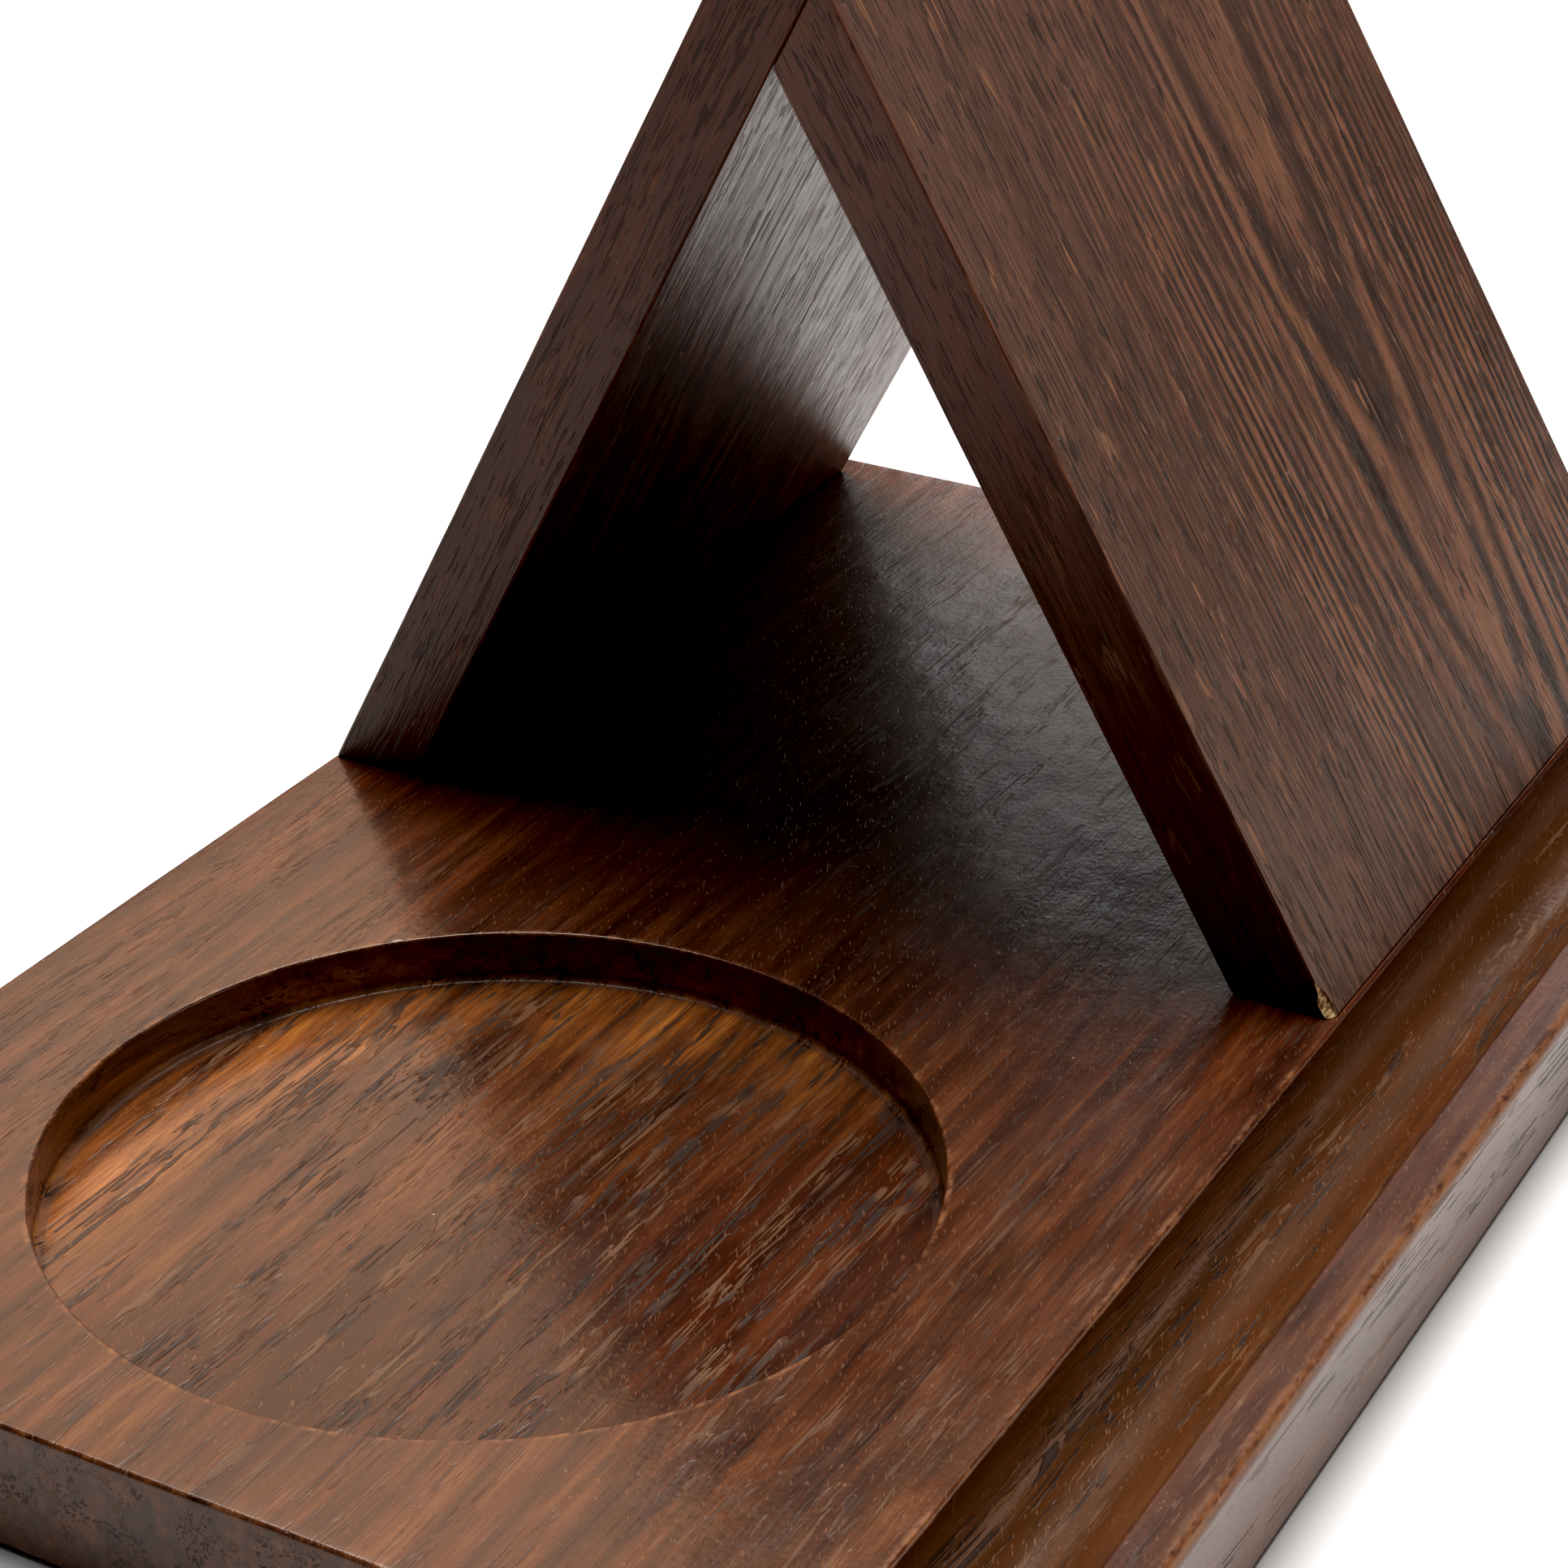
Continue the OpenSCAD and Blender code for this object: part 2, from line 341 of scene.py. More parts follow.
def cup_places(g, across, y, z, off):
    """Masks for the recess: its floor, painted shade behind it and on its floor's right half, its wall and
    the floor's corner, which the coats darken as painted shade
    """
    high = box_mm("base")[1]
    r = mounts["cup_recess"]["dims"]["r_mm"]
    floor = high.z - RECESS_DEPTH
    above = g.ease(z, floor - 0.9, floor - 0.4)
    routed = g.math("MULTIPLY", g.ease(z, floor + 2.0, floor + 0.5), g.ease(across, r, r - 1.0))
    routed = g.math("MULTIPLY", routed, above)
    # painted shade: the top darkens behind the recess, towards the boards
    back = g.ease(g.math("SUBTRACT", y, in_mm(mounts["cup_recess"]["pos_m"]).y), 12.0, 50.0)
    ring = g.math("MULTIPLY", g.ease(across, r - 0.6, r - 0.1), g.ease(across, r + 0.6, r + 0.2))
    # the floor's corner by the wall, where the coats paint shade into the crease
    corner = g.math("MULTIPLY", g.ease(across, r - 1.3, r - 0.7), g.ease(z, floor + 1.3, floor + 0.7))
    return {
        "routed": routed,
        "back": g.math("MULTIPLY", back, g.ease(routed, 1.0, 0.0)),
        # painted shade: the right half of the recess floor
        "painted_shade_right_half": g.math("MULTIPLY", routed, g.ease(off, 7.0, -9.0)),
        "wall": g.math("MULTIPLY", g.math("MULTIPLY", ring, above), g.ease(z, high.z - 0.2, high.z - 0.6)),
        "corner": g.math("MULTIPLY", g.math("MULTIPLY", corner, above), g.ease(across, r + 0.4, r + 0.1))}


def base_places(g, raw):
    """Masks for the plank's parts, each 1 on its part and 0 elsewhere"""
    x, y, z = g.split(raw)[:3]
    high = box_mm("base")[1]
    worn, across = base_wear(g, raw, x, y, z)
    off = far_left_of_cup(g, x, y)
    groove = in_mm(mounts["phone_groove"]["pos_m"])
    r = high.z - groove.z
    hollow = g.ease(line_gap(g, x, z, groove.x, high.z), r + 0.9, r + 0.4)
    top = g.ease(z, high.z - 1.5, high.z - 0.6)
    return {
        **cup_places(g, across, y, z, off),
        "worn": worn,
        "gold_and_painted_light": golden_and_painted_light(g, raw, z, across, off),
        "hollow": g.math("MULTIPLY", hollow, g.ease(z, high.z - 0.2, high.z - 2.0)),
        # the flat rim beside the groove, where sheen is painted
        "painted_rim_sheen": g.math("MULTIPLY", top, g.ease(x, high.x - 5.8, high.x - 4.8)),
        # the long +X side face, where light is painted
        "side_painted_light": g.ease(x, high.x - 0.45, high.x - 0.1),
        "sunk": g.ease(z, high.z - 0.3, high.z - 1.5, 0.45, 1.0)}


def base_smoke(g, p, at):
    """A few long smoky lines, strongest in the recess"""
    smoke = g.ease(g.noise(p, (1.9, 46.0, 1.9), 2.0, 0.6), 0.58, 0.72)
    smoke = g.math("MULTIPLY", smoke, g.ease(at["routed"], 0.0, 1.0, 0.35, 0.55))
    faint = g.math("MAXIMUM", at["side_painted_light"], at["hollow"])
    return g.math("MULTIPLY", smoke, g.ease(faint, 1.0, 0.0, 0.4, 1.0))


def base_pores(g, p, at):
    """Open pores in rows: fewest on the polished top, most in the recess's floor"""
    rows = g.ease(g.noise(p, (2.4, 60.0, 2.4), 1.0), 0.42, 0.56, 0.08, 1.0)
    thin = warp(g, p, (3.0, 25.0, 3.0), (0.25, 0.0, 0.25))
    usual = pores(g, thin, g.math("MULTIPLY", rows, at["sunk"]), BASE_PORES)
    opened = pores(g, thin, g.math("MULTIPLY", rows, at["routed"]), RECESS_PORES)
    return g.math("MAXIMUM", usual, opened)


def base_height(g, raw, p, fine, at, hole, scratch):
    """Relief in millimetres: a soft swell, orange peel, lumps and the fine grain, less on the long side"""
    swell = g.noise(p, (9.0, 13.0, 9.0), 0.0)
    peel = g.noise(raw, (0.55, 0.75, 0.55), 1.0)
    lumps = g.noise(raw, (2.2, 3.6, 2.2), 0.0)
    height = weighted(g, [(swell, 0.10), (peel, 0.016), (lumps, 0.032), *fine], 0.0)
    height = g.math("MULTIPLY", height, g.ease(at["side_painted_light"], 0.0, 1.0, 1.0, 0.6))
    height = g.math("MULTIPLY_ADD", hole, -0.038, height)
    return g.math("MULTIPLY_ADD", scratch, 0.010, height)


def rougher(g, roughness, places):
    """roughness with each place's amount added"""
    for mask, amount in places:
        roughness = g.math("MULTIPLY_ADD", mask, amount, roughness)
    return roughness


def base_walnut():
    """The plank: reddish walnut with open pores, grain along Y that runs out a little"""
    g = Graph("base_walnut")
    raw = g.object_mm()
    at = base_places(g, raw)
    x, y, z = g.split(raw)[:3]
    grain = g.join(x, y, g.math("MULTIPLY_ADD", y, RUN_OUT, z))
    p = warp(g, grain, (14.0, 60.0, 14.0), (3.0, 0.0, 3.0))
    bands = g.noise(p, (7.0, 150.0, 7.0), 2.0)
    streaks = g.noise(p, (1.6, 80.0, 1.6), 3.0, 0.5)
    fibres = g.noise(p, (0.22, 13.0, 0.22), 1.0, 0.5)
    clouds = g.noise(p, (18.0, 34.0, 18.0), 2.0, 0.6)
    mottle = g.noise(p, (0.5, 4.0, 0.5), 2.0, 0.6)
    tone = weighted(g, [(bands, 0.70), (streaks, 1.15), (fibres, 0.50), (clouds, 0.42), (mottle, 0.30)])
    coats = [(at[place], amount, coat, blend) for place, amount, coat, blend in BASE_COATS]
    colour = layers(g, g.ramp(tone, BASE_COLOURS), [*coats, (base_smoke(g, p, at), 1.0, SMOKE, "MIX")])
    hole = base_pores(g, p, at)
    pale = g.ease(g.noise(p, (3.0, 9.0, 3.0), 1.0), 0.45, 0.60)
    paint = g.mix(pale, BASE_PORE_DARK, BASE_PORE_PALE)
    colour = g.mix(g.math("MULTIPLY", hole, 0.85), colour, paint)
    scratch = hairs(g, raw, 24.0)
    dust = specks(g, raw, 0.13, 0.035)
    colour = layers(g, colour, [
        (scratch, 0.35, BASE_SCRATCHED, "MIX"),
        (at["worn"], 0.7, BASE_RUBBED, "MIX"),
        (dust, 0.8, DUST, "MIX")])
    height = base_height(g, raw, p, [(fibres, 0.014), (streaks, 0.012)], at, hole, scratch)
    sheen = g.ease(clouds, 0.35, 0.65, 0.20, 0.29)
    dull = [(hole, 0.35), (at["worn"], 0.15), (at["corner"], 0.4), (at["painted_rim_sheen"], 0.04)]
    return g.finish(colour, rougher(g, sheen, dull), height, **{
        "Specular IOR Level": 0.42, "Specular Tint": (1.0, 0.85, 0.76, 1.0),
        "Coat Weight": 0.35, "Coat Roughness": 0.17, "Coat IOR": 1.45})


BOARD_COLOURS = [
    (0.12, (0.022, 0.0105, 0.0075)),
    (0.38, (0.053, 0.0238, 0.0155)),
    (0.62, (0.112, 0.0490, 0.0285)),
    (0.88, (0.225, 0.1000, 0.0540))]

# width, thread, dash, share
BOARD_PORES = [(0.09, 16.0, 1.8, 0.46), (0.12, 40.0, 4.0, 0.12)]

# greyer pink laid towards a board's top: painted sheen
BOARD_PAINTED_SHEEN = (0.185, 0.113, 0.092)
BOARD_EDGE_TINT = (1.08, 0.78, 0.73)
BOARD_PORE_DARK = (0.006, 0.0035, 0.003, 1.0)
BOARD_PORE_PALE = (0.27, 0.125, 0.062, 1.0)
BOARD_RUBBED = (0.17, 0.072, 0.036)


def growth_rings(g, p, figure, broad):
    """Rings about a sloping axis, around 0.5: each pales slowly, then darkens at once"""
    u, v, w = g.split(p)[:3]
    off_axis = g.math("SUBTRACT", u, figure["axis"])
    deep = g.math("MULTIPLY_ADD", v, -figure["taper"], g.math("ADD", w, figure["depth"]))
    radius = g.vector("LENGTH", g.join(off_axis, deep, 0.0))
    rings = g.math("MULTIPLY", g.math("POWER", radius, 1.87), 0.0195)
    drift = g.noise(g.join(rings, g.math("MULTIPLY", v, 0.02), 0.0), (1.7, 1.0, 1.0), 2.0)
    saw = g.math("FRACT", g.math("MULTIPLY_ADD", drift, 1.6, rings))
    late = g.math("MULTIPLY", g.ease(saw, 0.0, 0.45), g.ease(saw, 1.0, 0.62))
    strength = g.noise(g.join(rings, v, u), (2.6, 60.0, 30.0), 2.0)
    reach = figure["reach"]
    central = g.ease(g.math("ABSOLUTE", off_axis), reach, reach * 0.5, 0.30, 1.0)
    swing = g.math("MULTIPLY", g.math("MULTIPLY", central, broad), g.ease(strength, 0.3, 0.65, 0.35, 1.15))
    return g.math("MULTIPLY_ADD", g.math("SUBTRACT", late, 0.5), swing, 0.5)


def board_height(g, p, fine, hole):
    """Relief in millimetres: a soft swell, orange peel, the fine grain and the pores"""
    swell = g.noise(p, (7.0, 22.0, 7.0), 0.0)
    peel = g.noise(p, (0.4, 0.8, 0.4), 0.0)
    height = weighted(g, [(swell, 0.10), (peel, 0.010), *fine], 0.0)
    return g.math("MULTIPLY_ADD", hole, -0.05, height)


def board_walnut(name, node, foot, up, inward, figure):
    """A board: dark walnut whose growth rings make a pointed flame on its broad faces"""
    g = Graph(name)
    where = g.vector("SUBTRACT", g.object_mm(), tuple(foot))
    u = g.split(where)[1]
    v = g.vector("DOT_PRODUCT", where, tuple(up))
    w = g.vector("DOT_PRODUCT", where, tuple(inward))
    raw = g.join(u, v, w)
    low, high = box_mm(node)
    edge_gap = slab_gap(g, u, 0.0, high.y - low.y)
    gap = middle_of(g, edge_gap, slab_gap(g, w, 0.0, BOARD_T), v)
    worn = rubbed(g, gap, raw, 0.55, 0.42)
    broad = g.ease(edge_gap, 0.1, 0.6)
    p = warp(g, raw, (13.0, 34.0, 13.0), (1.7, 0.0, 1.0))
    p = warp(g, p, (2.5, 14.0, 2.5), (0.45, 0.0, 0.45))
    line = growth_rings(g, p, figure, broad)
    bands = g.noise(p, (9.0, 90.0, 9.0), 2.0)
    fibres = g.noise(p, (0.22, 15.0, 0.22), 1.0, 0.5)
    streaks = g.noise(p, (0.8, 60.0, 0.8), 2.0, 0.5)
    tone = weighted(g, [(line, figure["contrast"]), (bands, 0.35), (fibres, 0.55), (streaks, 0.32)], 0.52)
    colour = layers(g, g.ramp(tone, BOARD_COLOURS), [
        # painted sheen: greyer towards the board's top
        (g.ease(g.split(p)[1], 35.0, 100.0, 0.0, figure["painted_sheen"]), 1.0, BOARD_PAINTED_SHEEN, "MIX"),
        (g.math("SUBTRACT", 1.0, broad), 1.0, BOARD_EDGE_TINT, "MULTIPLY")])
    hole = pores(g, p, g.ease(broad, 0.0, 1.0, 0.75, 1.0), BOARD_PORES)
    pale = g.ease(g.noise(p, (1.2, 6.0, 1.2), 0.0), 0.56, 0.66)
    paint = g.mix(pale, BOARD_PORE_DARK, BOARD_PORE_PALE)
    colour = g.mix(g.math("MULTIPLY", hole, 0.75), colour, paint)
    dust = specks(g, raw, 0.12, 0.03)
    colour = layers(g, colour, [(worn, 0.55, BOARD_RUBBED, "MIX"), (dust, 0.8, DUST, "MIX")])
    height = board_height(g, p, [(fibres, 0.030), (streaks, 0.025), (line, 0.012)], hole)
    roughness = rougher(g, g.ease(streaks, 0.35, 0.65, 0.26, 0.34), [(hole, 0.25)])
    return g.finish(colour, roughness, height, **{
        "Specular IOR Level": 0.42, "Specular Tint": (1.0, 0.84, 0.76, 1.0),
        "Coat Weight": 0.15, "Coat Roughness": 0.2, "Coat IOR": 1.45})


# axis, depth, taper: where the rings' axis runs; reach, contrast: how wide and strong the flame is; the last:
# how much painted sheen greys the board towards its top
FRONT_FIGURE = {
    "axis": 61.0, "depth": 12.5, "taper": 0.085, "reach": 44.0, "contrast": 0.66, "painted_sheen": 0.42}
REAR_FIGURE = {
    "axis": 34.0, "depth": 16.0, "taper": 0.06, "reach": 38.0, "contrast": 0.42, "painted_sheen": 0.0}


def front_walnut():
    n = Vector(mounts["phone_face"]["axis"])
    low, high = box_mm("front_board")
    foot = (high.x, low.y, low.z)
    up = (-n.z, 0.0, n.x)
    inward = (-n.x, 0.0, -n.z)
    return board_walnut("front_walnut", "front_board", foot, up, inward, FRONT_FIGURE)


def rear_walnut():
    up = (cos(REAR_LEAN), 0.0, sin(REAR_LEAN))
    inward = (sin(REAR_LEAN), 0.0, -cos(REAR_LEAN))
    foot = tuple(box_mm("rear_board")[0])
    return board_walnut("rear_walnut", "rear_board", foot, up, inward, REAR_FIGURE)


def raw_walnut():
    """Bare torn wood, where a splinter came off"""
    g = Graph("raw_walnut")
    p = g.object_mm()
    fibres = g.noise(p, (0.25, 0.9, 0.5), 2.0, 0.6)
    colour = g.ramp(fibres, [
        (0.34, (0.110, 0.052, 0.020)),
        (0.50, (0.520, 0.330, 0.160)),
        (0.62, (0.860, 0.660, 0.400))])
    height = g.math("MULTIPLY", fibres, 0.12)
    return g.finish(colour, g.ease(fibres, 0.3, 0.7, 0.55, 0.8), height, **{"Specular IOR Level": 0.3})


def beech(node):
    """A dowel: pale wood along its own length, with short darker rays"""
    g = Graph("beech_" + node)
    low, high = box_mm(node)
    middle = (low + high) / 2
    long = (high - low).x > 5
    axis = (sin(REAR_LEAN), 0.0, -cos(REAR_LEAN)) if long else (0.0, 0.0, 1.0)
    p = g.vector("SUBTRACT", g.object_mm(), tuple(middle))
    v = g.vector("DOT_PRODUCT", p, axis)
    across = g.vector("SUBTRACT", p, g.vector("MULTIPLY", g.join(v, v, v), axis))
    x, y, z = g.split(across)[:3]
    q = g.join(g.math("ADD", x, z), v, y)
    fibres = g.noise(q, (0.2, 8.0, 0.2), 3.0, 0.6)
    bands = g.noise(q, (1.1, 30.0, 1.1), 2.0)
    tone = weighted(g, [(fibres, 0.5), (bands, 0.7)])
    colour = g.ramp(tone, [
        (0.25, (0.330, 0.180, 0.085)),
        (0.50, (0.500, 0.310, 0.160)),
        (0.75, (0.640, 0.440, 0.260))])
    fleck = pores(g, q, 1.0, [(0.10, 3.0, 1.0, 0.5)])
    colour = g.mix(g.math("MULTIPLY", fleck, 0.6), colour, (0.21, 0.10, 0.045, 1.0))
    height = g.math("MULTIPLY_ADD", fleck, -0.03, g.math("MULTIPLY", fibres, 0.04))
    return g.finish(colour, g.ease(fibres, 0.3, 0.7, 0.5, 0.62), height, **{"Specular IOR Level": 0.35})


def rubber():
    """Pad rubber: black, finely pebbled, greyer with dust where it bulges"""
    g = Graph("pad_rubber")
    p = g.object_mm()
    pebble = g.cells(p, (0.32, 0.32, 0.32))[0]
    haze = g.noise(p, (2.5, 2.5, 2.5), 3.0, 0.6)
    tone = g.math("MULTIPLY_ADD", haze, 0.8, g.math("MULTIPLY", pebble, -0.2))
    colour = g.ramp(tone, [
        (0.15, (0.010, 0.010, 0.0105)),
        (0.45, (0.018, 0.0175, 0.017)),
        (0.75, (0.050, 0.047, 0.043))])
    height = g.math("MULTIPLY_ADD", g.ease(pebble, 0.1, 0.6, 1.0, 0.0), 0.03, g.math("MULTIPLY", haze, 0.02))
    return g.finish(colour, g.ease(haze, 0.3, 0.7, 0.5, 0.75), height, **{"Specular IOR Level": 0.4})


# ---------------------------------------------------------------- meshes

BASE_EASE = 0.5
RIM_EASE = 1.2
LIP_EASE = 0.4
GROOVE_EASE = 0.6
FLOOR_FILLET = 0.8
RECESS_DEPTH = 5.2
BOARD_EASE = 0.32
POCKET_R = 6.05
POCKET_DEPTH = 1.3
DOWEL_HOLE_R = 2.05
APEX_HOLE_R = 1.55
APEX_HOLE_LENGTH = 10.8
HOLE_SPARE = 0.4
WOBBLE_SEED = 1


def box_mm(node):
    low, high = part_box(node)
    return in_mm(low), in_mm(high)


def prism(section, y0, y1):
    """A closed solid: an X-Z outline run along Y"""
    bm = bmesh.new()
    near = [bm.verts.new((x, y0, z)) for x, z in section]
    far = [bm.verts.new((x, y1, z)) for x, z in section]
    bm.faces.new(near)
    bm.faces.new(far[::-1])
    for i in range(len(section)):
        j = (i + 1) % len(section)
        bm.faces.new((near[j], near[i], far[i], far[j]))
    bmesh.ops.recalc_face_normals(bm, faces=bm.faces[:])
    return bm


def slice_up(bm, direction, step, shift=0.0):
    """Cuts every face by parallel planes, so that it can be bent a little"""
    direction = Vector(direction).normalized()
    reach = [v.co.dot(direction) for v in bm.verts]
    at = min(reach) + step * (0.5 + shift)
    while at < max(reach) - 0.3 * step:
        geometry = bm.verts[:] + bm.edges[:] + bm.faces[:]
        bmesh.ops.bisect_plane(bm, geom=geometry, plane_co=direction * at, plane_no=direction)
        at += step


def ease_edges(bm, offset, wanted, segments):
    """Rounds the sharp edges for which wanted(edge's middle) is true"""
    edges = []
    for edge in bm.edges:
        if len(edge.link_faces) == 2 and edge.calc_face_angle(0.0) > radians(40):
            if wanted((edge.verts[0].co + edge.verts[1].co) / 2):
                edges.append(edge)
    bmesh.ops.bevel(bm, geom=edges, offset=offset, segments=segments, profile=0.5, affect="EDGES")


def arc(cx, cz, r, start, stop, count):
    """Points on an arc, angles in degrees"""
    for i in range(count + 1):
        a = radians(start + (stop - start) * i / count)
        yield cx + r * cos(a), cz + r * sin(a)


def settle(bm, reach, size, seed):
    """Hand-sanded unevenness: vertices sink a little, by soft noise"""
    bm.normal_update()
    moves = []
    for vert in bm.verts:
        n = noise.noise(vert.co / size + Vector((seed, 0.0, -seed)))
        moves.append(vert.normal * (-reach * (0.5 + 0.5 * n)))
    for vert, move in zip(bm.verts, moves):
        vert.co += move


def to_object(bm, name):
    """bm, in millimetres, as an object in metres"""
    mesh = bpy.data.meshes.new(name)
    bmesh.ops.scale(bm, vec=(MM, MM, MM), verts=bm.verts[:])
    bm.to_mesh(mesh)
    bm.free()
    obj = bpy.data.objects.new(name, mesh)
    bpy.context.scene.collection.objects.link(obj)
    return obj


def bake_modifiers(obj):
    """Replaces the object's mesh by what its modifiers make of it"""
    bpy.context.view_layer.update()
    graph = bpy.context.evaluated_depsgraph_get()
    mesh = bpy.data.meshes.new_from_object(obj.evaluated_get(graph))
    obj.modifiers.clear()
    obj.data = mesh


def cut(obj, cutters):
    """Takes the cutters away from obj; a cutter's own material stays on the faces it leaves"""
    for cutter in cutters:
        step = obj.modifiers.new("cut", "BOOLEAN")
        step.operation = "DIFFERENCE"
        step.solver = "EXACT"
        step.object = cutter
        if cutter.data.materials:
            step.material_mode = "TRANSFER"
        bake_modifiers(obj)
        bpy.data.objects.remove(cutter)


def shade(obj):
    mesh = obj.data
    mesh.polygons.foreach_set("use_smooth", [True] * len(mesh.polygons))
    mesh.set_sharp_from_angle(angle=radians(38))
    normals = obj.modifiers.new("normals", "WEIGHTED_NORMAL")
    normals.keep_sharp = True
    normals.weight = 80
    bake_modifiers(obj)


def cylinder(name, centre, axis, radius, length, sides=48):
    """A cutter that starts at centre and runs along axis"""
    bm = bmesh.new()
    bmesh.ops.create_cone(bm, cap_ends=True, segments=sides, radius1=radius, radius2=radius, depth=length)
    bmesh.ops.translate(bm, vec=(0, 0, length / 2), verts=bm.verts[:])
    turn = Vector(axis).to_track_quat("Z", "Y").to_matrix()
    bmesh.ops.rotate(bm, cent=(0, 0, 0), matrix=turn, verts=bm.verts[:])
    bmesh.ops.translate(bm, vec=centre, verts=bm.verts[:])
    return to_object(bm, name)


def node_middle(node):
    low, high = box_mm(node)
    return (low + high) / 2


def foot_holes(nodes_on_feet):
    for node in nodes_on_feet:
        low, high = box_mm(node)
        middle = node_middle(node)
        start = (middle.x, middle.y, low.z - HOLE_SPARE)
        length = high.z - low.z + 2 * HOLE_SPARE
        yield cylinder("hole", start, (0, 0, 1), DOWEL_HOLE_R, length)


def apex_holes():
    axis = Vector((sin(REAR_LEAN), 0.0, -cos(REAR_LEAN)))
    for node in ("apex_dowel_near", "apex_dowel_far"):
        start = node_middle(node) - 0.5 * APEX_HOLE_LENGTH * axis
        yield cylinder("hole", start, axis, APEX_HOLE_R, APEX_HOLE_LENGTH)


def groove_cutter():
    """The groove's section with its eased lips, run past both ends"""
    low, high = box_mm("base")
    centre = in_mm(mounts["phone_groove"]["pos_m"])
    r = high.z - centre.z
    cx, top = centre.x, high.z
    above = top + 2.0
    section = [(cx - r - GROOVE_EASE, above)]
    section += arc(cx - r - GROOVE_EASE, top - GROOVE_EASE, GROOVE_EASE, 90, 0, 4)
    section += list(arc(cx, top, r, 180 + 4, 360 - 4, 36))
    section += arc(cx + r + GROOVE_EASE, top - GROOVE_EASE, GROOVE_EASE, 180, 90, 4)
    section += [(cx + r + GROOVE_EASE, above)]
    bm = prism(section, low.y - 5, high.y + 5)
    slice_up(bm, (0, 1, 0), 2.6, 0.2)
    # without a seed, noise_vector takes its offsets from the clock
    noise.seed_set(WOBBLE_SEED)
    for vert in bm.verts:
        if vert.co.z < top + 0.1:
            wobble = noise.noise_vector(Vector((vert.co.x / 4, vert.co.y / 9, 3.0)))
            vert.co.x += 0.05 * wobble.x
            vert.co.z += 0.04 * wobble.z
    return to_object(bm, "groove_cutter")


def recess_cutter():
    """The cup recess: an eased, slightly worn lip, a wall and a filleted floor"""
    mount = mounts["cup_recess"]
    centre = in_mm(mount["pos_m"])
    r = mount["dims"]["r_mm"]
    top = box_mm("base")[1].z
    profile = [(r + LIP_EASE, top + 2.0)]
    profile += arc(r + LIP_EASE, top - LIP_EASE, LIP_EASE, 90, 180, 4)
    profile += arc(r - FLOOR_FILLET, top - RECESS_DEPTH + FLOOR_FILLET, FLOOR_FILLET, 0, -90, 4)
    bm = bmesh.new()
    count = 240
    rings = []
    for i in range(count):
        a = 2 * pi * i / count
        ring = []
        for rho, z in profile:
            worn = noise.noise(Vector((9 * cos(a), 9 * sin(a), 5.0)))
            chips = noise.noise(Vector((45 * cos(a), 45 * sin(a), 2.0)))
            lip = max(0.0, 1 - abs(z - top + 0.1) / 0.5)
            push = lip * (0.05 * worn + 0.10 * max(0.0, chips - 0.25))
            ring.append(bm.verts.new((centre.x + (rho + push) * cos(a), centre.y + (rho + push) * sin(a), z)))
        rings.append(ring)
    for i in range(count):
        a, b = rings[i], rings[(i + 1) % count]
        for j in range(len(profile) - 1):
            bm.faces.new((a[j], b[j], b[j + 1], a[j + 1]))
    bm.faces.new([ring[0] for ring in rings][::-1])
    bm.faces.new([ring[-1] for ring in rings])
    bmesh.ops.recalc_face_normals(bm, faces=bm.faces[:])
    return to_object(bm, "recess_cutter")


def pad_pockets():
    for node in ("pad_near_left", "pad_near_right", "pad_far_left", "pad_far_right"):
        middle = node_middle(node)
        under = box_mm("base")[0].z
        yield cylinder("pocket", (middle.x, middle.y, under - 2), (0, 0, 1), POCKET_R, 2 + POCKET_DEPTH, 64)


def make_base():
    low, high = box_mm("base")
    outline = [(low.x, low.z), (high.x, low.z), (high.x, high.z), (low.x, high.z)]
    bm = prism(outline, low.y, high.y)
    ease_edges(bm, RIM_EASE, lambda middle: middle.x > high.x - 0.01 and middle.z > high.z - 0.01, 6)
    ease_edges(bm, BASE_EASE, lambda middle: True, 3)
    slice_up(bm, (0, 1, 0), 3.0)
    slice_up(bm, (1, 0, 0), 5.0)
    settle(bm, 0.06, 14.0, 3.1)
    plank = to_object(bm, "base_plank")
    cutters = [recess_cutter(), groove_cutter(), *pad_pockets()]
    cutters += foot_holes(["rear_dowel_near", "rear_dowel_far", "front_dowel_near", "front_dowel_far"])
    cut(plank, cutters)
    shade(plank)
    return plank


def make_board(name, section, up, cutters):
    """A board from its X-Z outline: eased, sliced along and across, and hand-sanded"""
    low, high = box_mm(name)
    bm = prism(section, low.y, high.y)
    ease_edges(bm, BOARD_EASE, lambda middle: True, 4)
    slice_up(bm, up, 3.0)
    slice_up(bm, (0, 1, 0), 3.0)
    settle(bm, 0.05, 11.0, 7.7 if name == "front_board" else 1.3)
    board = to_object(bm, name + "_wood")
    cut(board, cutters)
    shade(board)
    return board


def at_height(foot, lean, side, height):
    """The point on a board's face, height above the base: side is 1 for a face leaning to +X"""
    return foot[0] + side * height / tan(lean), foot[1] + height


def frame_outlines():
    """The two boards' X-Z outlines, from the boxes of the boards and their leans"""
    low, high = box_mm("rear_board")
    front_lo, front_hi = box_mm("front_board")
    z = low.z
    rear_foot = (low.x, z)
    rear_in = (low.x + BOARD_T / sin(REAR_LEAN), z)
    front_foot = (front_hi.x, z)
    front_in = (front_hi.x - BOARD_T / sin(FRONT_LEAN), z)
    joint_in = (front_lo.x, z + (front_lo.x - rear_in[0]) * tan(REAR_LEAN))
    joint_out = (high.x, z + (high.x - rear_in[0]) * tan(REAR_LEAN))
    apex_height = (front_foot[0] - rear_foot[0]) / (1 / tan(REAR_LEAN) + 1 / tan(FRONT_LEAN))
    apex = at_height(rear_foot, REAR_LEAN, 1, apex_height)
    rear = [rear_foot, rear_in, joint_in, joint_out, apex]
    front = [front_foot, joint_out, joint_in, front_in]
    return rear, front


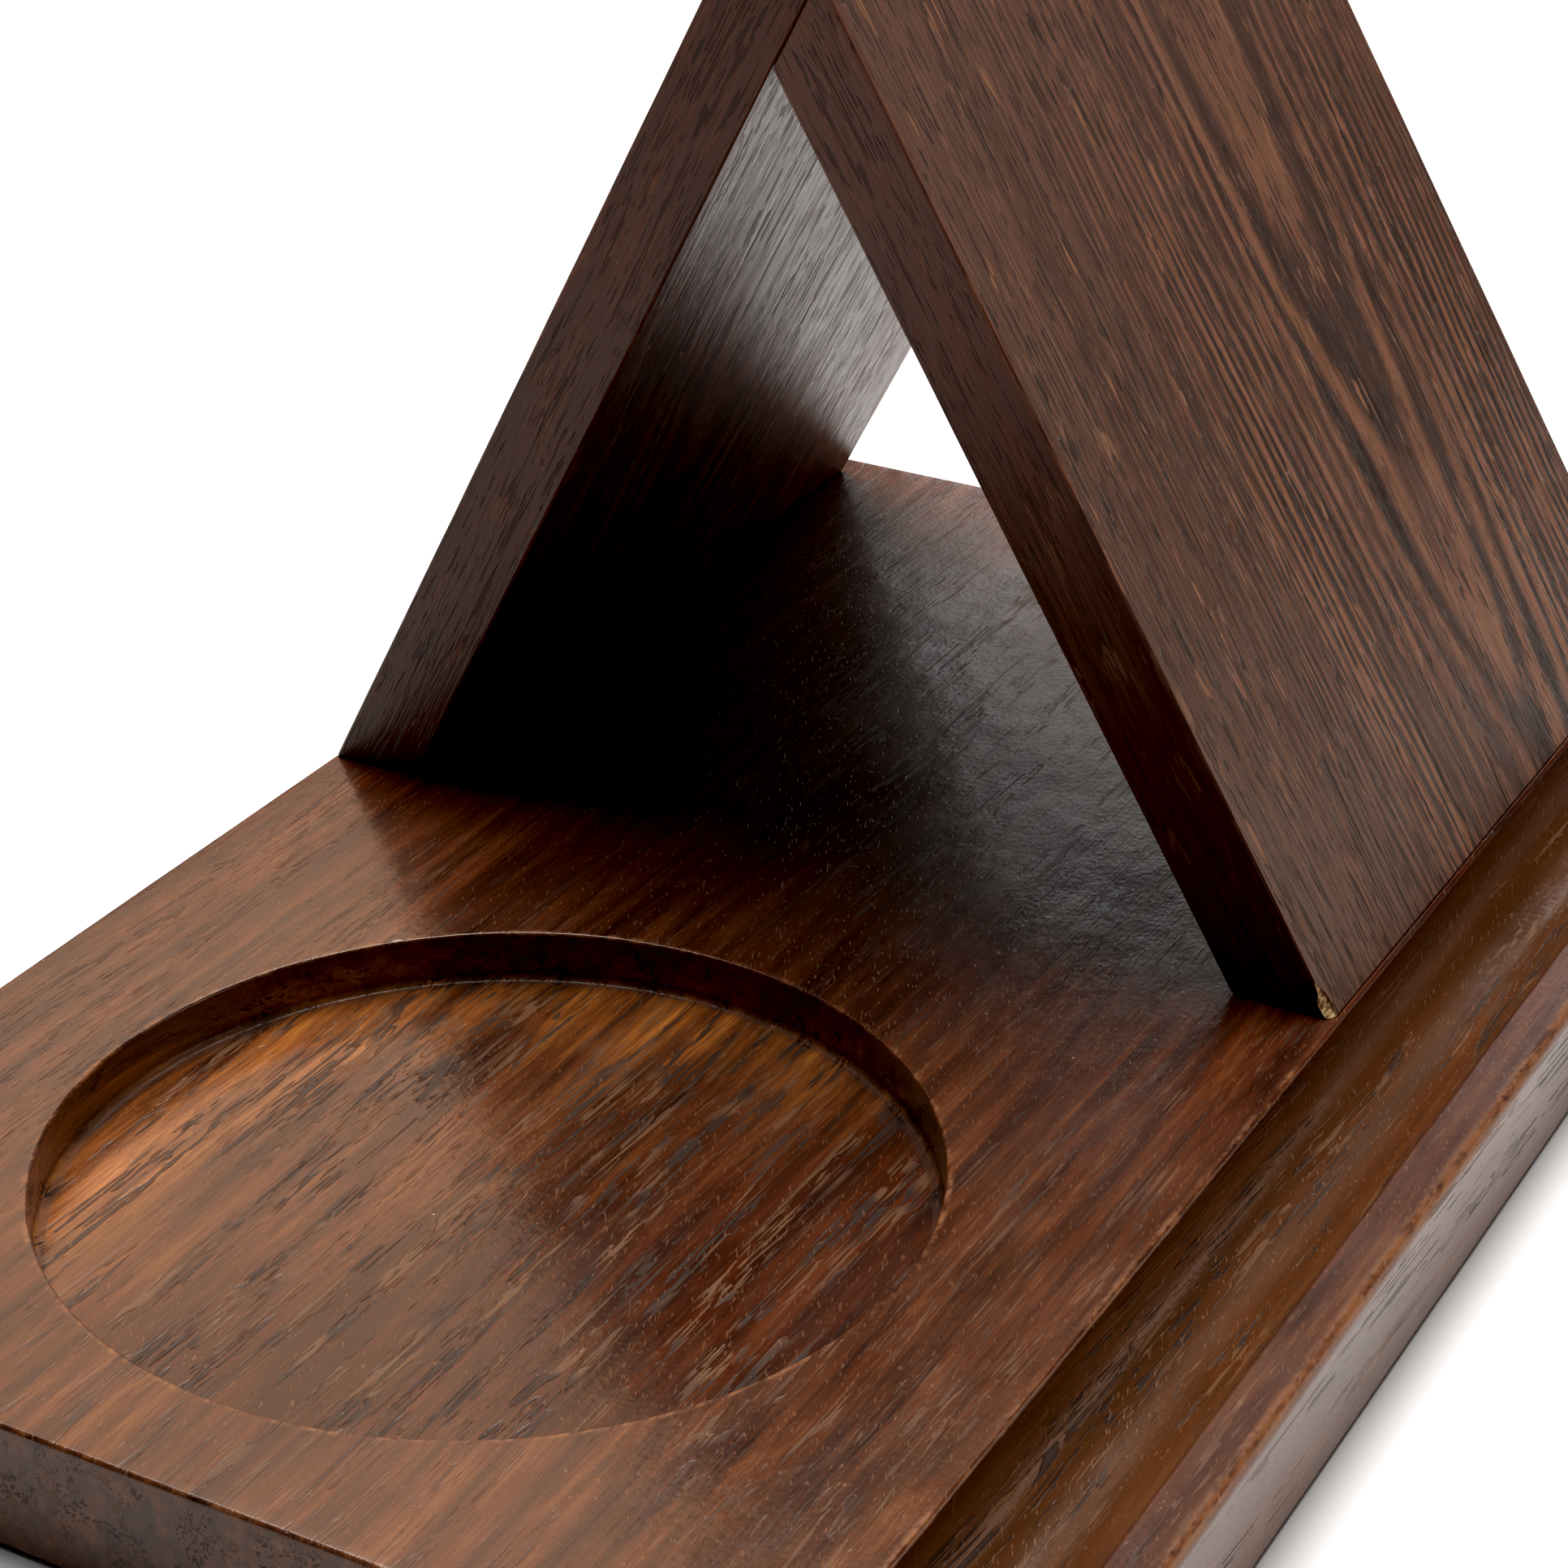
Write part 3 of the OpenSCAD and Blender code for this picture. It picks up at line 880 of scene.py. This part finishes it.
def rounded_apex(points, radius):
    """points, with the last one rounded off"""
    before, corner, after = (Vector(points[i]) for i in (-2, -1, 0))
    one, two = (before - corner).normalized(), (after - corner).normalized()
    half = one.angle(two) / 2
    middle = corner + (one + two).normalized() * (radius / sin(half))
    start, stop = corner + one * (radius / tan(half)) - middle, corner + two * (radius / tan(half)) - middle
    first = degrees(atan2(start.y, start.x))
    sweep = (degrees(atan2(stop.y, stop.x)) - first + 180) % 360 - 180
    return [*map(tuple, points[:-1]), *arc(middle.x, middle.y, radius, first, first + sweep, 5)]


def chip_cutter():
    """The splinter missing from the front board's lower near corner"""
    low, high = box_mm("front_board")
    corner = Vector((high.x, low.y, low.z))
    face = Vector(mounts["phone_face"]["axis"])
    up = Vector((-face.z, 0.0, face.x))
    bm = bmesh.new()
    bmesh.ops.create_icosphere(bm, subdivisions=4, radius=1.0)
    for vert in bm.verts:
        splinter = Vector((vert.co.x * 3.0, vert.co.y * 3.0, vert.co.z * 0.8))
        local = vert.co * (1 + 0.25 * noise.noise(splinter))
        vert.co = corner + up * (local.z * 3.2 + 1.3) + face * (local.x * 1.3 + 0.45)
        vert.co.y += local.y * 2.2 - 0.85
    chip = to_object(bm, "chip")
    chip.data.materials.append(raw_walnut())
    return chip


def make_boards():
    rear, front = frame_outlines()
    up = (cos(REAR_LEAN), 0.0, sin(REAR_LEAN))
    holes = [*foot_holes(["rear_dowel_near", "rear_dowel_far"]), *apex_holes()]
    back = make_board("rear_board", rounded_apex(rear, 0.6), up, holes)
    face = mounts["phone_face"]["axis"]
    holes = [*foot_holes(["front_dowel_near", "front_dowel_far"]), *apex_holes()]
    return back, make_board("front_board", front, (-face[2], 0.0, face[0]), [*holes, chip_cutter()])


# ---------------------------------------------------------------- studio

CAMERA_LENS = 87.13
CAMERA_AT = (0.14941, -0.28555, 0.19524)
CAMERA_DOWN = 27.41
CAMERA_TURN = 28.98
BLACK = 0.008


def camera():
    data = bpy.data.cameras.new("camera")
    data.lens = CAMERA_LENS
    data.sensor_width = 36.0
    obj = bpy.data.objects.new("camera", data)
    bpy.context.scene.collection.objects.link(obj)
    obj.location = CAMERA_AT
    obj.rotation_euler = (radians(90 - CAMERA_DOWN), 0.0, radians(CAMERA_TURN))
    bpy.context.scene.camera = obj


def softbox(name, azimuth, elevation, distance, size, power, colour=(1.0, 1.0, 1.0)):
    """A rectangular light; azimuth is measured from +Y towards -X"""
    data = bpy.data.lights.new(name, "AREA")
    data.shape = "RECTANGLE"
    data.size, data.size_y = size
    data.energy = power
    data.color = colour
    obj = bpy.data.objects.new(name, data)
    a, e = radians(azimuth), radians(elevation)
    away = Vector((-sin(a) * cos(e), cos(a) * cos(e), sin(e)))
    obj.location = Vector((0.0, 0.0, 0.04)) + distance * away
    obj.rotation_euler = away.to_track_quat("Z", "Y").to_euler()
    bpy.context.scene.collection.objects.link(obj)


def floor():
    mesh = bpy.data.meshes.new("floor")
    s = 3.0
    mesh.from_pydata([(-s, -s, 0), (s, -s, 0), (s, s, 0), (-s, s, 0)], [], [(0, 1, 2, 3)])
    obj = bpy.data.objects.new("floor", mesh)
    bpy.context.scene.collection.objects.link(obj)
    g = Graph("floor_card")
    p = g.object_mm()
    colour = g.ramp(g.noise(p, (60.0, 60.0, 60.0)), [(0.3, (0.78, 0.78, 0.78)), (0.7, (0.81, 0.81, 0.81))])
    height = g.math("MULTIPLY", g.noise(p, (0.8, 0.8, 0.8)), 0.01)
    mesh.materials.append(g.finish(colour, 0.7, height, **{"Specular IOR Level": 0.2}))


def world(strength):
    studio = bpy.data.worlds.new("studio")
    bpy.context.scene.world = studio
    studio.use_nodes = True
    background = studio.node_tree.nodes["Background"]
    background.inputs["Color"].default_value = (1.0, 1.0, 1.0, 1.0)
    background.inputs["Strength"].default_value = strength


def dress(obj, material):
    obj.data.materials.clear()
    obj.data.materials.append(material)


def stand():
    """The three wooden pieces anew, in place of their CAD nodes"""
    base = make_base()
    dress(base, base_walnut())
    back, front = make_boards()
    back.data.materials.append(rear_walnut())
    front.data.materials[0] = front_walnut()
    for piece, node in ((base, "base"), (back, "rear_board"), (front, "front_board")):
        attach(piece, "root")
        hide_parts(node)


def small_parts():
    pads = rubber()
    for name, obj in nodes.items():
        if "dowel" in name:
            dress(obj, beech(name))
        elif name.startswith("pad_"):
            dress(obj, pads)


def tone():
    """The photograph's curve: deep blacks, bright paper"""
    view = bpy.context.scene.view_settings
    view.view_transform = "Standard"
    view.look = "None"
    view.gamma = 0.85
    view.exposure = 0.32
    view.use_curve_mapping = True
    view.curve_mapping.black_level = (BLACK, BLACK, BLACK)
    view.curve_mapping.update()


stand()
small_parts()
camera()
floor()
world(0.03)
softbox("overhead", 30, 74, 1.5, (1.1, 1.1), 36)
softbox("left_card", 50, 38, 1.6, (1.1, 0.85), 5.5, (1.0, 0.75, 0.57))
softbox("far_card", 10, 16, 1.8, (1.0, 0.7), 3.6)
softbox("right_card", -60, 12, 1.8, (1.4, 0.7), 6.5, (1.0, 0.84, 0.74))
tone()
